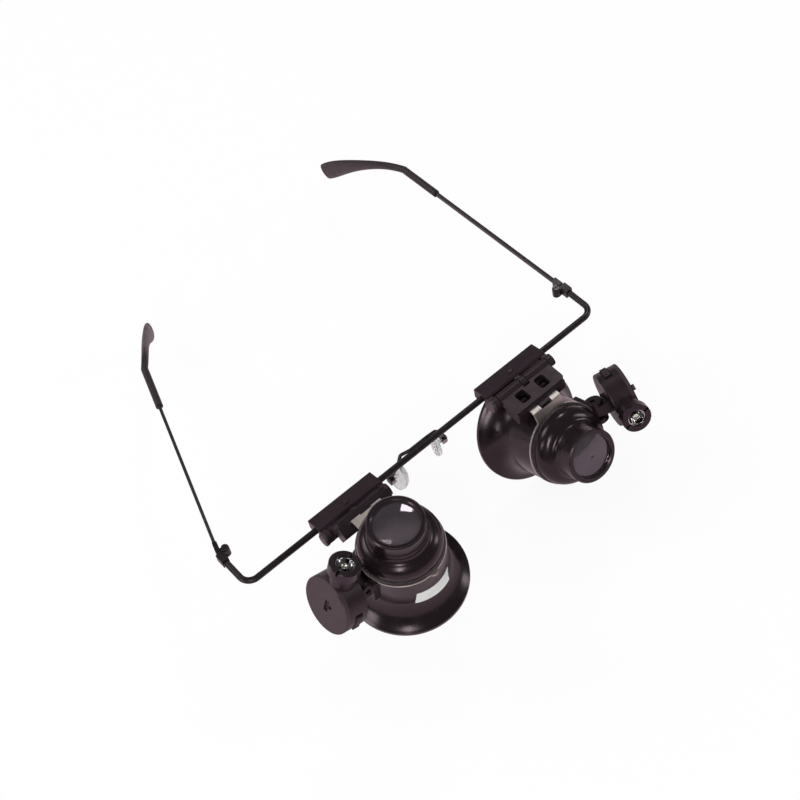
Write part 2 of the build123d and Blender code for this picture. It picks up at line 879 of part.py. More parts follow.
# Lamp bracket: curved saddle bonded to the eyecup, with two ears, drawn on the right
def lamp_bracket():
    saddle_end = ring_mid - sheet / 2 - ring_clear
    outer = cup_r + saddle_thick
    ear_inner = arm_half + ear_gap
    body = block(0, outer, -saddle_half, saddle_half, saddle_start, saddle_end)
    knuckle_space = arm_knuckle_r + body_gap
    body -= block(0, outer, -ear_inner, ear_inner, pivot_s - knuckle_space, saddle_end)
    for y0 in (-ear_inner - ear_thick, ear_inner):
        body += block(0, pivot_x, y0, y0 + ear_thick, pivot_s - ear_r, saddle_end)
        body += rod(ear_r, ear_thick, (pivot_x, y0, pivot_s), (0, 1, 0))
    body -= rod(cup_r + seat_gap, cap_front, (0, 0, 0), (0, 0, 1))
    body -= rod(ring_outer_r + ring_clear, cap_front, (0, 0, saddle_end), (0, 0, 1))
    return body - rod(arm_pin_r, 2 * cup_r, (pivot_x, -cup_r, pivot_s), (0, 1, 0))


# Pin of the lamp pivot, short of both ears' outer faces, drawn on the right
def arm_pin():
    half = arm_half + ear_gap + ear_thick - arm_pin_recess
    return rod(arm_pin_r, 2 * half, (pivot_x, -half, pivot_s), (0, 1, 0))


# Arm from the pivot pin to the battery case, with a stud pressed into the case, in the lamp's frame
def lamp_arm():
    pin_x = -case_half_thick - pin_from_case
    plate_face = -case_half_thick - arm_gap
    knuckle = rod(arm_knuckle_r, 2 * arm_half, (pin_x, -arm_half, pin_forward), (0, 1, 0))
    bar = block(
        pin_x,
        plate_face,
        -arm_half,
        arm_half,
        pin_forward - arm_knuckle_r,
        pin_forward + arm_knuckle_r,
    )
    plate_back = plate_face - arm_plate_thick
    bar += block(plate_back, plate_face, -arm_half, arm_half, -arm_plate_behind, pin_forward)
    bar += rod(arm_stud_r, arm_gap + case_floor - seat_gap, (plate_face, 0, 0), (1, 0, 0))
    bore = rod(arm_pin_r + running_gap, 2 * cup_r, (pin_x, -cup_r, pin_forward), (0, 1, 0))
    return knuckle + bar - bore


# Ring sector about the lamp's X axis, between two radii, two angles from Z towards Y, and two X places
def sector(inner_r, outer_r, start_deg, end_deg, x0, x1):
    start = radians(start_deg)
    end = radians(end_deg)
    middle = (start + end) / 2

    def point(radius, angle):
        return (radius * sin(angle), radius * cos(angle))

    with BuildSketch(Plane.YZ) as face:
        with BuildLine():
            far = ThreePointArc(point(outer_r, start), point(outer_r, middle), point(outer_r, end))
            near = ThreePointArc(point(inner_r, start), point(inner_r, middle), point(inner_r, end))
            Line(far @ 0, near @ 0)
            Line(far @ 1, near @ 1)
        make_face()
    return Pos(x0, 0, 0) * extrude(face.sketch, x1 - x0)


# Battery case: a round cup with a boss for the lamp head
def lamp_case():
    mouth = case_half_thick - cover_thick - seat_gap
    shell = rod(case_r, case_half_thick + mouth, (-case_half_thick, 0, 0), (1, 0, 0))
    shell = fillet(shell.faces().sort_by(Axis.X)[0].edges(), case_round)
    boss = rod(boss_r, boss_end - case_bore_r, (0, 0, case_bore_r), (0, 0, 1))
    hollow_start = (-case_half_thick + case_floor, 0, 0)
    hollow = rod(case_bore_r, 2 * case_r, hollow_start, (1, 0, 0))
    recess = rod(cover_r + cover_boss_gap, case_r, (mouth, 0, 0), (1, 0, 0))
    wire_way = rod(led_r, case_r, (0, 0, 0), (0, 0, 1))
    stud_hole = rod(arm_stud_r + running_gap, 2 * case_floor, (-case_half_thick, 0, 0), (1, 0, 0))
    track = sector(
        case_r - switch_depth,
        case_r + overrun,
        switch_start_deg - switch_travel_deg - switch_track_spare_deg,
        switch_end_deg + switch_track_spare_deg,
        switch_middle - switch_width / 2 - body_gap,
        switch_middle + switch_width / 2 + body_gap,
    )
    return shell + boss - hollow - recess - wire_way - stud_hole - track


# Ribbed switch that slides round the case's rim, with a raised end for the thumb
def switch_slider():
    x0 = switch_middle - switch_width / 2
    x1 = switch_middle + switch_width / 2
    top = case_r + switch_rise
    slider = sector(case_r - switch_depth + running_gap, top, switch_start_deg, switch_end_deg, x0, x1)
    bump_start = switch_end_deg - switch_bump_deg
    slider += sector(case_r, top + switch_bump_rise, bump_start, switch_end_deg, x0, x1)
    rib_run = bump_start - switch_start_deg
    for rib in range(switch_ribs):
        start = switch_start_deg + (rib + 1 / 2) * rib_run / switch_ribs - switch_rib_deg / 2
        slider += sector(case_r, top + switch_rib_rise, start, start + switch_rib_deg, x0, x1)
    return slider


# Twist-off battery cover with a coin slot, a plain arrow head and a grip tab on its rim
def battery_cover():
    face = case_half_thick
    back = face - cover_thick
    disc = rod(cover_r, cover_thick, (back, 0, 0), (1, 0, 0))
    disc = fillet(disc.faces().sort_by(Axis.X)[-1].edges(), cover_edge_round)
    spigot_r = case_bore_r - running_gap
    spigot = rod(spigot_r, cover_spigot, (back - cover_spigot, 0, 0), (1, 0, 0))
    spigot -= rod(spigot_r - cover_spigot_wall, cover_spigot, (back - cover_spigot, 0, 0), (1, 0, 0))
    tab_half_deg = degrees(cover_tab_width / 2 / case_r)
    tab = sector(
        cover_r - cover_tab_width,
        case_r + cover_tab_rise,
        cover_tab_deg - tab_half_deg,
        cover_tab_deg + tab_half_deg,
        face,
        face + cover_tab_thick,
    )
    slot = block(
        face - cover_slot_depth,
        face + overrun,
        -cover_slot_width / 2,
        cover_slot_width / 2,
        -cover_slot_length / 2,
        cover_slot_length / 2,
    )
    barb = block(
        face - cover_slot_depth,
        face + overrun,
        -cover_slot_width / 2,
        cover_slot_width / 2,
        -cover_arrow_length,
        0,
    )
    barb = Pos(0, 0, cover_slot_length / 2) * Rot(cover_arrow_deg, 0, 0) * barb
    return disc + spigot + tab - slot - barb


# Coin cells, stacked
def coin_cells():
    floor = -case_half_thick + case_floor + contact_thick + seat_gap
    cells = []
    for index in range(2):
        start = floor + index * (cell_thick + seat_gap)
        cell = rod(cell_r, cell_thick, (start, 0, 0), (1, 0, 0))
        cells.append(fillet(cell.faces().sort_by(Axis.X)[-1].edges(), contact_thick / 2))
    return Compound(children=cells)


# Contact strip on the case's floor
def contact_strip():
    floor = -case_half_thick + case_floor
    return block(
        floor,
        floor + contact_thick,
        -contact_width / 2,
        contact_width / 2,
        -case_bore_r + contact_width / 2,
        case_bore_r - contact_end_gap,
    )


# Lamp head: a thick-walled round hood on the case's boss, with a stepped neck and notched rim
def led_head():
    neck_end = boss_end + head_neck_length
    neck = rod(head_neck_r, head_neck_length, (0, 0, boss_end), (0, 0, 1))
    hood = rod(head_r, head_end - neck_end, (0, 0, neck_end), (0, 0, 1))
    hood = chamfer(hood.faces().sort_by(Axis.Z)[-1].edges(), head_notch_width / 4)
    bore = rod(head_r - head_wall, head_end, (0, 0, boss_end + head_floor), (0, 0, 1))
    wire_hole = rod(led_r + seat_gap, head_end, (0, 0, boss_end - overrun), (0, 0, 1))
    body = neck + hood - bore - wire_hole
    for angle in head_notch_angles:
        notch = block(
            head_r - head_wall - overrun,
            head_r + overrun,
            -head_notch_width / 2,
            head_notch_width / 2,
            head_end - head_notch_depth,
            head_end + overrun,
        )
        body -= Rot(0, 0, angle) * notch
    return body


# Plated reflector inside the head
def reflector():
    back = boss_end + head_floor
    front = head_end - reflector_recess

    def outline():
        wall = Polyline(
            (reflector_throat_r, back),
            (reflector_r, back),
            (reflector_r, front),
            (reflector_mouth_r, front),
        )
        bulge = (reflector_mouth_r - reflector_throat_r) * reflector_bulge_share
        middle = (reflector_throat_r + bulge, (front + back) / 2)
        ThreePointArc(wall @ 1, middle, wall @ 0)

    return turned(outline)


# Light-emitting diode with its collar
def led_bulb():
    collar_back = boss_end + head_floor
    dome_s = collar_back + led_length - led_r
    leg = rod(led_r, head_floor, (0, 0, boss_end), (0, 0, 1))
    collar = rod(led_collar_r, contact_thick, (0, 0, collar_back), (0, 0, 1))
    body = rod(led_r, led_length - led_r, (0, 0, collar_back), (0, 0, 1))
    dome = Pos(0, 0, dome_s) * Sphere(led_r) & rod(led_r, led_r, (0, 0, dome_s), (0, 0, 1))
    return leg + collar + body + dome


# Both sides of a piece, each put in its place
def save_pair(name, shape, place):
    for side in sides:
        save(f"{side}_{name}", place(shape, side))


def frame_side(shape, side):
    return as_side(shape, side)


def bridge_side(shape, side):
    return Pos(bridge_middle, 0, 0) * as_side(shape, side)


def temple_side(shape, side):
    return folded(as_side(shape, side), side)


def on_clip(shape, side):
    return Pos(clip_x[side], 0, 0) * shape


def on_loupe_side(shape, side):
    return on_loupe(lamp_side(side) * shape, side)


os.makedirs("parts", exist_ok=True)
save("bar_wire", bar_wire())
save("temple_screws", temple_screws())
save("bridge_wire", bridge_wire())
save("pad_screws", pad_screws())
save_pair("frame_lug", frame_lug(), frame_side)
save_pair("pad_box", pad_box(), bridge_side)
for pad_side in sides:
    save(f"{pad_side}_nose_pad", bridge_side(nose_pad(pad_side), pad_side))
save_pair("temple_lug", temple_lug(), temple_side)
save_pair("temple_strip", temple_strip(), temple_side)
for tip_side in sides:
    save(f"{tip_side}_ear_tip", temple_side(ear_tip(tip_side), tip_side))
save_pair("clip_body", clip_body(), on_clip)
save_pair("clip_jaw", clip_jaw(), on_clip)
save_pair("flip_pin", flip_pin(), on_clip)
save_pair("flip_block", flip_block(), on_flip)
save_pair("flip_springs", flip_springs(), on_flip)
save_pair("bracket", bracket(), on_flip)
save_pair("eyecup", eyecup(), on_loupe)
save_pair("lens_cap", lens_cap(), on_loupe)
save_pair("front_lens", front_lens(), on_loupe)
save_pair("rear_lens", rear_lens(), on_loupe)
save("blank_label", on_loupe(blank_label(), "left"))
save_pair("lamp_bracket", lamp_bracket(), on_loupe_side)
save_pair("arm_pin", arm_pin(), on_loupe_side)
save_pair("lamp_arm", lamp_arm(), on_lamp)
save_pair("lamp_case", lamp_case(), on_lamp)
save_pair("battery_cover", battery_cover(), on_lamp)
save_pair("coin_cells", coin_cells(), on_lamp)
save_pair("contact_strip", contact_strip(), on_lamp)
save_pair("led_head", led_head(), on_lamp)
save_pair("reflector", reflector(), on_lamp)
save_pair("led_bulb", led_bulb(), on_lamp)
save_pair("switch_slider", switch_slider(), on_lamp)
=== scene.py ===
import json

import bpy
from mathutils import Matrix, Vector


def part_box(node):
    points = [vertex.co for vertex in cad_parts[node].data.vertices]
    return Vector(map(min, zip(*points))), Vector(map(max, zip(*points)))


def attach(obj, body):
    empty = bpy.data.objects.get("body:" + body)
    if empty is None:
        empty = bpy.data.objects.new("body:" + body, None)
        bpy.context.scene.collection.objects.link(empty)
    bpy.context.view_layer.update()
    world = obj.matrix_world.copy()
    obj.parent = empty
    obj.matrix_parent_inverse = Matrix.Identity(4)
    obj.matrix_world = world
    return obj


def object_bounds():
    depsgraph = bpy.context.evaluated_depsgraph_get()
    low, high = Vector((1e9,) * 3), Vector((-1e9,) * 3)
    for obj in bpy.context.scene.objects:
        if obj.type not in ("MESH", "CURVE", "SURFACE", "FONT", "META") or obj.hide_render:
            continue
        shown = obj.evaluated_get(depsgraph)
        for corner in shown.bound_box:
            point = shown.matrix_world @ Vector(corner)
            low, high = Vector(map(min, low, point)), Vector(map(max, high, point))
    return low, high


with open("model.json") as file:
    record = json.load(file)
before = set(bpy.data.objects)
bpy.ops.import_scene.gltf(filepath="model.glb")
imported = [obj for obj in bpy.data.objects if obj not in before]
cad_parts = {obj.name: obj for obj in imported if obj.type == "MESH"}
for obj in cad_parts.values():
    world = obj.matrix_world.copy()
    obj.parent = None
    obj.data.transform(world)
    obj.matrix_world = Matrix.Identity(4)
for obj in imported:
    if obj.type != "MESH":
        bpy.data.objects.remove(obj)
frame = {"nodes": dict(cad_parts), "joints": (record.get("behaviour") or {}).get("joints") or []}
nodes = frame["nodes"]
cad_box = [list(map(float, corner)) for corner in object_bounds()]

# Camera
# It stands in front of the glasses, above them and a little to the left, with a long lens.
# Its place and turn were solved from the brow bar, both temples and the loupes' circles.
camera_place = (-0.1574, -0.2797, 0.4622)
sensor_mm = 36.0
lens_mm = 77.58
nearest_shown = 0.01
camera_data = bpy.data.cameras.new("camera")
camera_data.sensor_width = sensor_mm
camera_data.lens = lens_mm
camera_data.clip_start = nearest_shown
camera = bpy.data.objects.new("camera", camera_data)
bpy.context.scene.collection.objects.link(camera)
camera_right = Vector((0.7559, -0.6379, -0.1474)).normalized()
camera_back = Vector((-0.2829, -0.5212, 0.8052)).normalized()
camera_up = camera_back.cross(camera_right).normalized()
camera_right = camera_up.cross(camera_back)
turn = Matrix((camera_right, camera_up, camera_back)).transposed()
camera.matrix_world = Matrix.Translation(camera_place) @ turn.to_4x4()
bpy.context.scene.camera = camera
bpy.context.scene.view_settings.view_transform = "Standard"


# Studio table
# A sheet of white card just under the glasses, so large that it fills the view.
# It glows white to the camera, but for the share that keeps a faint soft shadow, and it looks rosy in gloss.
def colour(hex_value):
    """An sRGB hex colour as linear RGBA."""
    channels = [int(hex_value[i : i + 2], 16) / 255 for i in (1, 3, 5)]
    linear = [c / 12.92 if c <= 0.04045 else ((c + 0.055) / 1.055) ** 2.4 for c in channels]
    return (*linear, 1.0)


def add(tree, kind, inputs=None, **settings):
    """One node with its settings, its inputs' values and the links that reach it.
    An input goes by its name, or by its number where a node has several of one name."""
    made = tree.nodes.new(kind)
    for name, value in settings.items():
        setattr(made, name, value)
    for name, value in (inputs or {}).items():
        if isinstance(value, bpy.types.NodeSocket):
            tree.links.new(value, made.inputs[name])
        else:
            made.inputs[name].default_value = value
    return made


def new_tree(name):
    """An empty material's node tree, with its output node."""
    material = bpy.data.materials.new(name)
    material.use_nodes = True
    tree = material.node_tree
    tree.nodes.clear()
    return material, tree, tree.nodes.new("ShaderNodeOutputMaterial")


def blend(tree, factor, first, second):
    """A mix of two colours, each a hex value or a socket. Its colour sockets are inputs 6 and 7, output 2."""
    ends = [colour(end) if isinstance(end, str) else end for end in (first, second)]
    mix = add(tree, "ShaderNodeMix", {"Factor": factor, 6: ends[0], 7: ends[1]}, data_type="RGBA")
    return mix.outputs[2]


card_glow_share = 0.9
card_white = "#f2f2f2"
card_in_gloss = "#e2cdd6"
pure_white = (1, 1, 1, 1)
card, tree, out = new_tree("white_card")
path = tree.nodes.new("ShaderNodeLightPath")
glow = add(tree, "ShaderNodeMath", {0: path.outputs["Is Camera Ray"], 1: card_glow_share},
           operation="MULTIPLY")
# A ray through rough glass counts as glossy too, so those are taken off again.
mirrored = add(
    tree,
    "ShaderNodeMath",
    {0: path.outputs["Is Glossy Ray"], 1: path.outputs["Is Transmission Ray"]},
    operation="SUBTRACT",
    use_clamp=True,
)
paper = blend(tree, mirrored.outputs[0], card_white, card_in_gloss)
diffuse = add(tree, "ShaderNodeBsdfDiffuse", {"Color": paper})
white = add(tree, "ShaderNodeEmission", {"Color": pure_white, "Strength": 1.0})
mixed = add(tree, "ShaderNodeMixShader", {
    "Fac": glow.outputs[0], 1: diffuse.outputs[0], 2: white.outputs[0]})
tree.links.new(mixed.outputs[0], out.inputs["Surface"])

floor_drop = 0.0005
floor_half = 3.0
floor_z = cad_box[0][2] - floor_drop
floor_corners = [
    (-floor_half, -floor_half, floor_z),
    (floor_half, -floor_half, floor_z),
    (floor_half, floor_half, floor_z),
    (-floor_half, floor_half, floor_z),
]
floor_mesh = bpy.data.meshes.new("floor")
floor_mesh.from_pydata(floor_corners, [], [(0, 1, 2, 3)])
floor = bpy.data.objects.new("floor", floor_mesh)
bpy.context.scene.collection.objects.link(floor)
floor.data.materials.append(card)

# Studio room
# The air around the table. It is white to the camera, dim in gloss as an unlit ceiling is, and a plain
# fill for matt surfaces.
fill_level = 0.6
ceiling_level = 0.16
world = bpy.data.worlds.new("studio")
bpy.context.scene.world = world
world.use_nodes = True
tree = world.node_tree
tree.nodes.clear()
path = tree.nodes.new("ShaderNodeLightPath")
level = add(tree, "ShaderNodeMapRange", {
    "Value": path.outputs["Is Glossy Ray"], "To Min": fill_level, "To Max": ceiling_level})
shown = add(tree, "ShaderNodeMapRange", {
    "Value": path.outputs["Is Camera Ray"], "To Min": level.outputs[0], "To Max": 1.0})
sky = add(tree, "ShaderNodeBackground", {"Color": pure_white, "Strength": shown.outputs[0]})
out = tree.nodes.new("ShaderNodeOutputWorld")
tree.links.new(sky.outputs[0], out.inputs["Surface"])


# Softboxes
# Five rectangular lamps round the table, all facing the glasses.
# Each stands in the direction from which its highlight reaches the camera off the caps, lenses and tabs.
def softbox(name, direction, distance, width, height, watts):
    """A rectangular lamp in a direction from the glasses' middle, facing them."""
    lamp = bpy.data.lights.new(name, "AREA")
    lamp.shape = "RECTANGLE"
    lamp.size = width
    lamp.size_y = height
    lamp.energy = watts
    holder = bpy.data.objects.new(name, lamp)
    bpy.context.scene.collection.objects.link(holder)
    facing = Vector(direction).normalized()
    place = Matrix.Translation(facing * distance)
    holder.matrix_world = place @ facing.to_track_quat("Z", "Y").to_matrix().to_4x4()


softbox("back_right_box", (0.47, 0.41, 0.78), distance=0.95, width=0.15, height=0.15, watts=1.0)
softbox("overhead_box", (-0.45, 0.62, 0.64), distance=1.20, width=0.45, height=0.45, watts=2.6)
softbox("front_left_box", (-0.50, -0.55, 0.67), distance=1.10, width=0.16, height=0.42, watts=3.4)
softbox("low_left_box", (-0.92, 0.10, 0.38), distance=1.10, width=0.30, height=0.50, watts=2.4)
softbox("low_right_box", (0.85, -0.40, 0.35), distance=1.10, width=0.20, height=0.40, watts=1.6)


# Brow bar, its hinge leaves, the bridge wire and the temple wires
# Round steel wire, bent cold and brazed, then stoved with black enamel.
# The coat is satin with a slight orange peel, and tiny chips on the wire show grey steel.
def soft_edge(tree, radius, bump_height, bump_distance):
    """A normal with rounded edges, alone and with a bump on top."""
    rounded = add(tree, "ShaderNodeBevel", {"Radius": radius}, samples=4)
    bump = add(tree, "ShaderNodeBump", {
        "Strength": 1.0, "Distance": bump_distance, "Height": bump_height, "Normal": rounded.outputs[0]})
    return rounded, bump


def dress(material, *names):
    """Gives CAD nodes their material."""
    for name in names:
        mesh = nodes[name].data
        if len(mesh.materials) == 0:
            mesh.materials.append(material)
        for index in range(len(mesh.materials)):
            mesh.materials[index] = material


def both(*names):
    """The left and right nodes of each name."""
    return [f"{side}_{name}" for name in names for side in ("left", "right")]


# Most of a noise's values lie within this span. A scale that ends in per_m counts a pattern's cells in a
# metre, so the smallest here, the orange peel's, are 0.7 mm across.
noise_span = {"From Min": 0.3, "From Max": 0.7}
peel_per_m = 1500.0
peel_depth = 0.000006
patches_per_m = 140.0
chips_per_m = 850.0
chip_starts = 0.79
chip_is_bare = 0.81
enamel_edge_r = 0.00015
enamel, tree, out = new_tree("stoved_black_enamel")
place = tree.nodes.new("ShaderNodeTexCoord").outputs["Object"]
peel = add(tree, "ShaderNodeTexNoise", {"Vector": place, "Scale": peel_per_m, "Detail": 2.0})
patch = add(tree, "ShaderNodeTexNoise", {"Vector": place, "Scale": patches_per_m, "Detail": 4.0})
chip = add(tree, "ShaderNodeTexNoise", {
    "Vector": place, "Scale": chips_per_m, "Detail": 5.0, "Roughness": 0.7})
chipped = add(tree, "ShaderNodeMapRange", {
    "Value": chip.outputs["Fac"], "From Min": chip_starts, "From Max": chip_is_bare})
paint = blend(tree, patch.outputs["Fac"], "#110d0f", "#191416")
shown = blend(tree, chipped.outputs[0], paint, "#5f585a")
rough = add(tree, "ShaderNodeMapRange", {
    "Value": patch.outputs["Fac"], **noise_span, "To Min": 0.3, "To Max": 0.44})
rounded, bump = soft_edge(tree, enamel_edge_r, peel.outputs["Fac"], peel_depth)
coat = add(tree, "ShaderNodeBsdfPrincipled", {
    "Base Color": shown,
    "Roughness": rough.outputs[0],
    "IOR": 1.45,
    "Specular Tint": colour("#fff4f8"),
    "Normal": bump.outputs[0],
})
tree.links.new(coat.outputs[0], out.inputs["Surface"])
dress(enamel, "bar_wire", "bridge_wire", *both("frame_lug", "temple_lug", "temple_strip", "pad_box"))


# Braze at the nose bridge
# Brass run into the groove between the brow bar and the bridge wire behind it.
# It was left in ripples and enamelled over with the rest of the frame.
def grown(name, sizes, build, material):
    """A piece that Geometry Nodes builds from named sizes, turned into a plain mesh at the origin."""
    group = bpy.data.node_groups.new(name, "GeometryNodeTree")
    group.interface.new_socket(name="Geometry", in_out="OUTPUT", socket_type="NodeSocketGeometry")
    for size in sizes:
        group.interface.new_socket(name=size, in_out="INPUT", socket_type="NodeSocketFloat")
    given = group.nodes.new("NodeGroupInput")
    real = add(group, "GeometryNodeRealizeInstances", {"Geometry": build(group, given.outputs)})
    painted = add(group, "GeometryNodeSetMaterial", {"Geometry": real.outputs[0], "Material": material})
    end = group.nodes.new("NodeGroupOutput")
    group.links.new(painted.outputs[0], end.inputs[0])
    piece = bpy.data.objects.new(name, bpy.data.meshes.new(name))
    bpy.context.scene.collection.objects.link(piece)
    modifier = piece.modifiers.new(name, "NODES")
    modifier.node_group = group
    for item in group.interface.items_tree:
        if item.in_out == "INPUT":
            modifier[item.identifier] = sizes[item.name]
    evaluated = piece.evaluated_get(bpy.context.evaluated_depsgraph_get())
    plain = bpy.data.meshes.new_from_object(evaluated)
    piece.modifiers.remove(modifier)
    piece.data = plain
    return piece


def row(tree, size, count, item):
    """Items in a row along X, centred, with the step between them as a named size."""
    half = add(tree, "ShaderNodeMath", {0: size["Step"], 1: (1 - count) / 2}, operation="MULTIPLY")
    start = add(tree, "ShaderNodeCombineXYZ", {"X": half.outputs[0]})
    step = add(tree, "ShaderNodeCombineXYZ", {"X": size["Step"]})
    line = add(tree, "GeometryNodeMeshLine", {
        "Count": count, "Start Location": start.outputs[0], "Offset": step.outputs[0]})
    return add(tree, "GeometryNodeInstanceOnPoints", {"Points": line.outputs[0], "Instance": item})


def braze_ripples(tree, size):
    """Overlapping drops of uneven size."""
    drop = add(tree, "GeometryNodeMeshUVSphere", {"Segments": 14, "Rings": 8, "Radius": size["Drop radius"]})
    drops = row(tree, size, braze_drops, drop.outputs["Mesh"])
    uneven = add(tree, "FunctionNodeRandomValue", {"Min": least_drop, "Max": most_drop, "Seed": braze_seed},
                 data_type="FLOAT_VECTOR")
    tree.links.new(uneven.outputs[0], drops.inputs["Scale"])
    return drops.outputs["Instances"]


braze_drops = 16
braze_seed = 5
least_drop = (0.9, 0.8, 0.8)
most_drop = (1.3, 1.2, 1.15)
bridge_wire_r = 0.0006
drop_r = bridge_wire_r * 0.5
drop_step = bridge_wire_r * 0.62
groove_back = bridge_wire_r * 0.3
groove_up = bridge_wire_r * 0.55
bar_low, bar_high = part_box("bar_wire")
bridge_low, bridge_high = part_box("bridge_wire")
bar_r = (bar_high.z - bar_low.z) / 2
groove = Vector(((bridge_low.x + bridge_high.x) / 2, bar_r + groove_back, groove_up))
braze = grown("bridge_braze", {"Step": drop_step, "Drop radius": drop_r}, braze_ripples, enamel)
braze.data.transform(Matrix.Translation(groove))
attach(braze, "frame")


# Ear tips
# Sleeves of soft PVC, dipped over the ends of the temple wires, with a fine grain and a dull sheen.
def edge_share(tree, rounded, start, stop):
    """1 along sharp edges, where the rounded normal leaves the surface's own, otherwise 0.
    Start and stop are cosines of the angle between the two."""
    geometry = tree.nodes.new("ShaderNodeNewGeometry")
    dot = add(tree, "ShaderNodeVectorMath", {0: rounded.outputs[0], 1: geometry.outputs["Normal"]},
              operation="DOT_PRODUCT")
    return add(tree, "ShaderNodeMapRange", {
        "Value": dot.outputs["Value"], "From Min": start, "From Max": stop})


def moulded_plastic(name, tones, edge, roughness, grain_mm, grain_depth, ior, edge_radius=0.0002):
    """Moulded plastic: flow marks, grain from the tool, fine scuffs, dust, and lighter edges: rubbed wear,
    and with a pale edge colour also a painted highlight.
    """
    mm_per_m = 1000.0
    flow_per_m = 150.0
    scuffs_per_m = 2600.0
    specks_per_m = 560.0
    scuff_starts = 0.62
    scuff_is_full = 0.74
    scuff_dullness = 0.1
    speck_core = 0.04
    speck_rim = 0.08
    wear_starts = 0.99
    wear_is_full = 0.86
    rubbed_most = 0.5
    material, tree, out = new_tree(name)
    place = tree.nodes.new("ShaderNodeTexCoord").outputs["Object"]
    flow = add(tree, "ShaderNodeTexNoise", {
        "Vector": place, "Scale": flow_per_m, "Detail": 5.0, "Distortion": 0.8})
    grain = add(tree, "ShaderNodeTexNoise", {
        "Vector": place, "Scale": mm_per_m / grain_mm, "Detail": 3.0, "Roughness": 0.6})
    scuff_place = add(tree, "ShaderNodeMapping", {
        "Vector": place, "Rotation": (0.4, 0.7, 0.3), "Scale": (1.0, 0.12, 0.35)})
    scuff = add(tree, "ShaderNodeTexNoise", {
        "Vector": scuff_place.outputs[0], "Scale": scuffs_per_m, "Detail": 4.0, "Roughness": 0.75})
    scuffed = add(tree, "ShaderNodeMapRange", {
        "Value": scuff.outputs["Fac"], "From Min": scuff_starts, "From Max": scuff_is_full})
    speck = add(tree, "ShaderNodeTexVoronoi", {"Vector": place, "Scale": specks_per_m})
    dust = add(tree, "ShaderNodeMapRange", {
        "Value": speck.outputs["Distance"],
        "From Min": speck_core,
        "From Max": speck_rim,
        "To Min": 1.0,
        "To Max": 0.0,
    })
    dust_share = add(tree, "ShaderNodeMath", {0: dust.outputs[0], 1: flow.outputs["Fac"]},
                     operation="MULTIPLY")
    rounded, bump = soft_edge(tree, edge_radius, grain.outputs["Fac"], grain_depth)
    # Edges made lighter: rubbed wear, and where the edge colour is pale, a painted highlight.
    worn = edge_share(tree, rounded, wear_starts, wear_is_full)
    rubbed_share = add(tree, "ShaderNodeMath", {0: worn.outputs[0], 1: rubbed_most}, operation="MULTIPLY")
    base = blend(tree, flow.outputs["Fac"], *tones)
    dusty = blend(tree, dust_share.outputs[0], base, "#5e545a")
    rubbed = blend(tree, rubbed_share.outputs[0], dusty, edge)
    satin = add(tree, "ShaderNodeMapRange", {
        "Value": flow.outputs["Fac"], **noise_span, "To Min": roughness[0], "To Max": roughness[1]})
    rough = add(tree, "ShaderNodeMath", {0: scuffed.outputs[0], 1: scuff_dullness, 2: satin.outputs[0]},
                operation="MULTIPLY_ADD")
    skin = add(tree, "ShaderNodeBsdfPrincipled", {
        "Base Color": rubbed,
        "Roughness": rough.outputs[0],
        "IOR": ior,
        "Specular Tint": colour("#ffe8f1"),
        "Normal": bump.outputs[0],
    })
    tree.links.new(skin.outputs[0], out.inputs["Surface"])
    return material


dipped_pvc = moulded_plastic(
    "dipped_pvc",
    tones=("#1d191b", "#282427"),
    edge="#3a3538",
    roughness=(0.38, 0.5),
    grain_mm=0.35,
    grain_depth=0.00002,
    ior=1.46,
)
dress(dipped_pvc, *both("ear_tip"))


# Temple screws and nose pad screws
# Small slotted screws turned from steel. Those of the temples are blued, so that only their edges shine,
# and those of the pads are nickelled.
def plain_metal(name, tones, edge, roughness, stretch=(1, 1, 1)):
    """Bare or plated metal: tarnish, draw lines stretched by a factor along each axis, and bright edges."""
    lines_per_m = 2500.0
    line_depth = 0.000004
    tarnish_per_m = 220.0
    edge_radius = 0.00012
    shine_starts = 0.99
    shine_is_full = 0.88
    material, tree, out = new_tree(name)
    place = tree.nodes.new("ShaderNodeTexCoord").outputs["Object"]
    aligned = add(tree, "ShaderNodeMapping", {"Vector": place, "Scale": stretch})
    lines = add(tree, "ShaderNodeTexNoise", {
        "Vector": aligned.outputs[0], "Scale": lines_per_m, "Detail": 4.0})
    tarnish = add(tree, "ShaderNodeTexNoise", {"Vector": place, "Scale": tarnish_per_m, "Detail": 4.0})
    rounded, bump = soft_edge(tree, edge_radius, lines.outputs["Fac"], line_depth)
    bright = edge_share(tree, rounded, shine_starts, shine_is_full)
    tone = blend(tree, tarnish.outputs["Fac"], *tones)
    shown = blend(tree, bright.outputs[0], tone, edge)
    rough = add(tree, "ShaderNodeMapRange", {
        "Value": lines.outputs["Fac"], **noise_span, "To Min": roughness[0], "To Max": roughness[1]})
    metal = add(tree, "ShaderNodeBsdfPrincipled", {
        "Base Color": shown,
        "Metallic": 1.0,
        "Roughness": rough.outputs[0],
        "Normal": bump.outputs[0],
    })
    tree.links.new(metal.outputs[0], out.inputs["Surface"])
    return material


blued_steel = plain_metal("blued_steel", ("#3a3639", "#5f5a5d"), edge="#8f898b", roughness=(0.28, 0.42))
nickelled_screw = plain_metal(
    "nickelled_screw", ("#8d8884", "#b9b4af"), edge="#d8d3cd", roughness=(0.2, 0.34))
dress(blued_steel, "temple_screws")
dress(nickelled_screw, "pad_screws")

